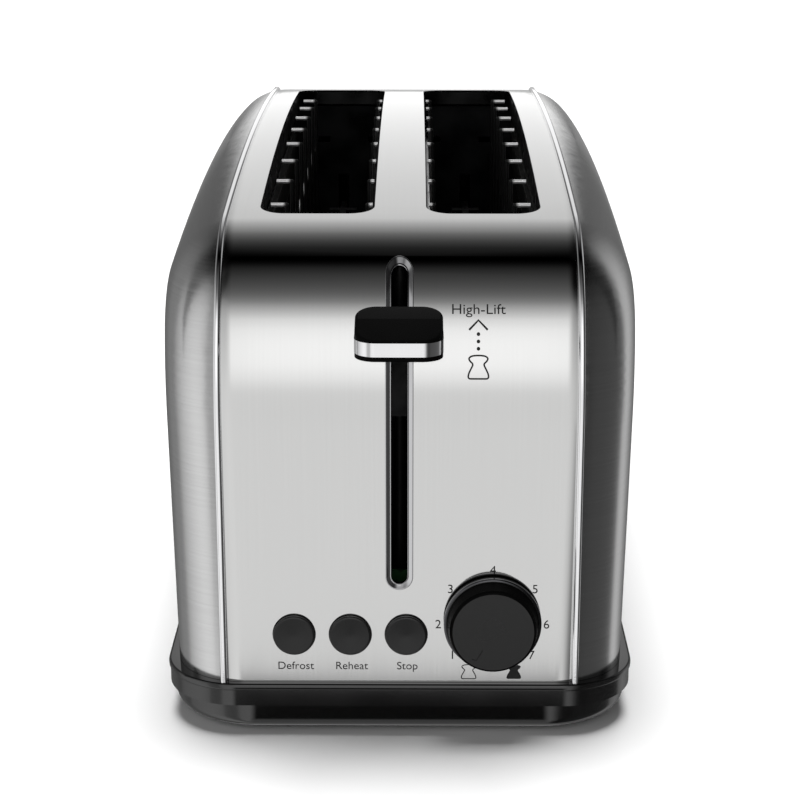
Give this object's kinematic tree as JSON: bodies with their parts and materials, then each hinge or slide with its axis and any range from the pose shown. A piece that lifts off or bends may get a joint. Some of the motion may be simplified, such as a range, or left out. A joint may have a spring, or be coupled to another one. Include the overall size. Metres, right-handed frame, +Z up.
{
  "type": "pop-up toaster",
  "caption": "Long pop-up toaster with a wrapped steel body, side-by-side bread slots, front lever, push buttons, browning dial and a rear crumb tray",
  "frame": {"origin": "centre of the overall box in plan, on the surface that the toaster stands on", "axes": "+Z up, front with the lever towards -Y, +X to the right seen from the front"},
  "size_m": [0.1652, 0.4154, 0.1817],
  "materials": {
    "satin_steel": "satin, nearly polished",
    "brushed_shell": "fine lengthwise brushing",
    "chrome_trim": "mirror polish",
    "black_chrome": "dark mirror polish",
    "black_moulding": "satin black",
    "gloss_black": "gloss black",
    "soft_black": "soft black",
    "foot_rubber": "matt",
    "zinc_sheet": "plain zinc-coated sheet",
    "slot_rim_steel": "dull",
    "plated_wire": "bright plated wire",
    "dark_lever_steel": "dark phosphate",
    "mica_board": "matt flaky mica",
    "heating_ribbon": "oxidised",
    "brass_parts": "plain",
    "core_iron": "plain",
    "copper_winding": "enamelled wire",
    "circuit_laminate": "resin board",
    "dark_component": "moulded",
    "shaft_aluminium": "turned",
    "screw_steel": "zinc plated"
  },
  "bodies": {
    "housing": {"centre_cover": "satin_steel", "left_side_shell": "brushed_shell", "right_side_shell": "brushed_shell", "left_seam_bead": "chrome_trim", "right_seam_bead": "chrome_trim", "lever_slot_trim": "chrome_trim", "base_skirt": "black_moulding", "cord_gland": "black_moulding", "rubber_feet": "foot_rubber", "bottom_plate": "zinc_sheet", "front_chassis_plate": "zinc_sheet", "rear_chassis_plate": "zinc_sheet", "mechanism_shelf": "zinc_sheet", "left_heat_wall": "zinc_sheet", "right_heat_wall": "zinc_sheet", "board_brackets": "zinc_sheet", "left_slot_liner": "slot_rim_steel", "right_slot_liner": "slot_rim_steel", "guide_rod": "plated_wire", "lift_spring": "plated_wire", "left_heater_board": "mica_board", "centre_heater_board": "mica_board", "right_heater_board": "mica_board", "left_heating_wire": "heating_ribbon", "centre_heating_wire": "heating_ribbon", "right_heating_wire": "heating_ribbon", "element_bus_bar": "brass_parts", "contact_leaves": "brass_parts", "magnet_core": "core_iron", "magnet_coil": "copper_winding", "control_board": "circuit_laminate", "browning_potentiometer": "dark_component", "tact_switches": "dark_component", "relay": "dark_component", "capacitor": "dark_component", "contact_block": "dark_component", "terminal_block": "dark_component", "base_screws": "screw_steel", "rear_cover_screws": "screw_steel"},
    "carriage": {"carriage_bush": "brass_parts", "carriage_plate": "dark_lever_steel", "lever_arm": "dark_lever_steel", "lever_knob": "soft_black", "lever_knob_band": "chrome_trim", "keeper_plate": "dark_lever_steel", "left_bread_rack": "plated_wire", "right_bread_rack": "plated_wire"},
    "dial": {"browning_knob": "gloss_black", "browning_knob_ring": "black_chrome", "potentiometer_shaft": "shaft_aluminium"},
    "defrost_key": {"defrost_button": "gloss_black"},
    "reheat_key": {"reheat_button": "gloss_black"},
    "stop_key": {"stop_button": "gloss_black"},
    "left_outer_cage": {"left_outer_guide_cage": "plated_wire"},
    "left_inner_cage": {"left_inner_guide_cage": "plated_wire"},
    "right_inner_cage": {"right_inner_guide_cage": "plated_wire"},
    "right_outer_cage": {"right_outer_guide_cage": "plated_wire"},
    "tray": {"crumb_tray": "zinc_sheet", "crumb_tray_handle": "black_moulding"}
  },
  "joints": [
    {"name": "carriage_slide", "type": "slide", "parent": "housing", "child": "carriage", "axis": [0, 0, 1], "range_m": [-0.084, 0.012], "stiffness_N_per_m": 150, "springref_m": 0.01001, "deforming": ["lift_spring"]},
    {"name": "browning_turn", "type": "hinge", "parent": "housing", "child": "dial", "pos_m": [0.0321, -0.183, 0.0425], "axis": [0, 1, 0], "range_deg": [0, 285]},
    {"name": "crumb_tray_slide", "type": "slide", "parent": "housing", "child": "tray", "axis": [0, 1, 0], "range_m": [0, 0.3]},
    {"name": "defrost_press", "type": "slide", "parent": "housing", "child": "defrost_key", "axis": [0, 1, 0], "range_m": [0, 0.002], "stiffness_N_per_m": 900},
    {"name": "reheat_press", "type": "slide", "parent": "housing", "child": "reheat_key", "axis": [0, 1, 0], "range_m": [0, 0.002], "stiffness_N_per_m": 900},
    {"name": "stop_press", "type": "slide", "parent": "housing", "child": "stop_key", "axis": [0, 1, 0], "range_m": [0, 0.002], "stiffness_N_per_m": 900},
    {"name": "left_outer_cage_close", "type": "slide", "parent": "housing", "child": "left_outer_cage", "axis": [1, 0, 0], "range_m": [-0.00081, 0.0051]},
    {"name": "left_inner_cage_close", "type": "slide", "parent": "housing", "child": "left_inner_cage", "axis": [-1, 0, 0], "range_m": [-0.00081, 0.0051]},
    {"name": "right_outer_cage_close", "type": "slide", "parent": "housing", "child": "right_outer_cage", "axis": [-1, 0, 0], "range_m": [-0.00081, 0.0051]},
    {"name": "right_inner_cage_close", "type": "slide", "parent": "housing", "child": "right_inner_cage", "axis": [1, 0, 0], "range_m": [-0.00081, 0.0051]}
  ],
  "couplings": [
    {"joint": "left_outer_cage_close", "follows": "carriage_slide", "ratio": -0.0595},
    {"joint": "left_inner_cage_close", "follows": "carriage_slide", "ratio": -0.0595},
    {"joint": "right_outer_cage_close", "follows": "carriage_slide", "ratio": -0.0595},
    {"joint": "right_inner_cage_close", "follows": "carriage_slide", "ratio": -0.0595}
  ]
}
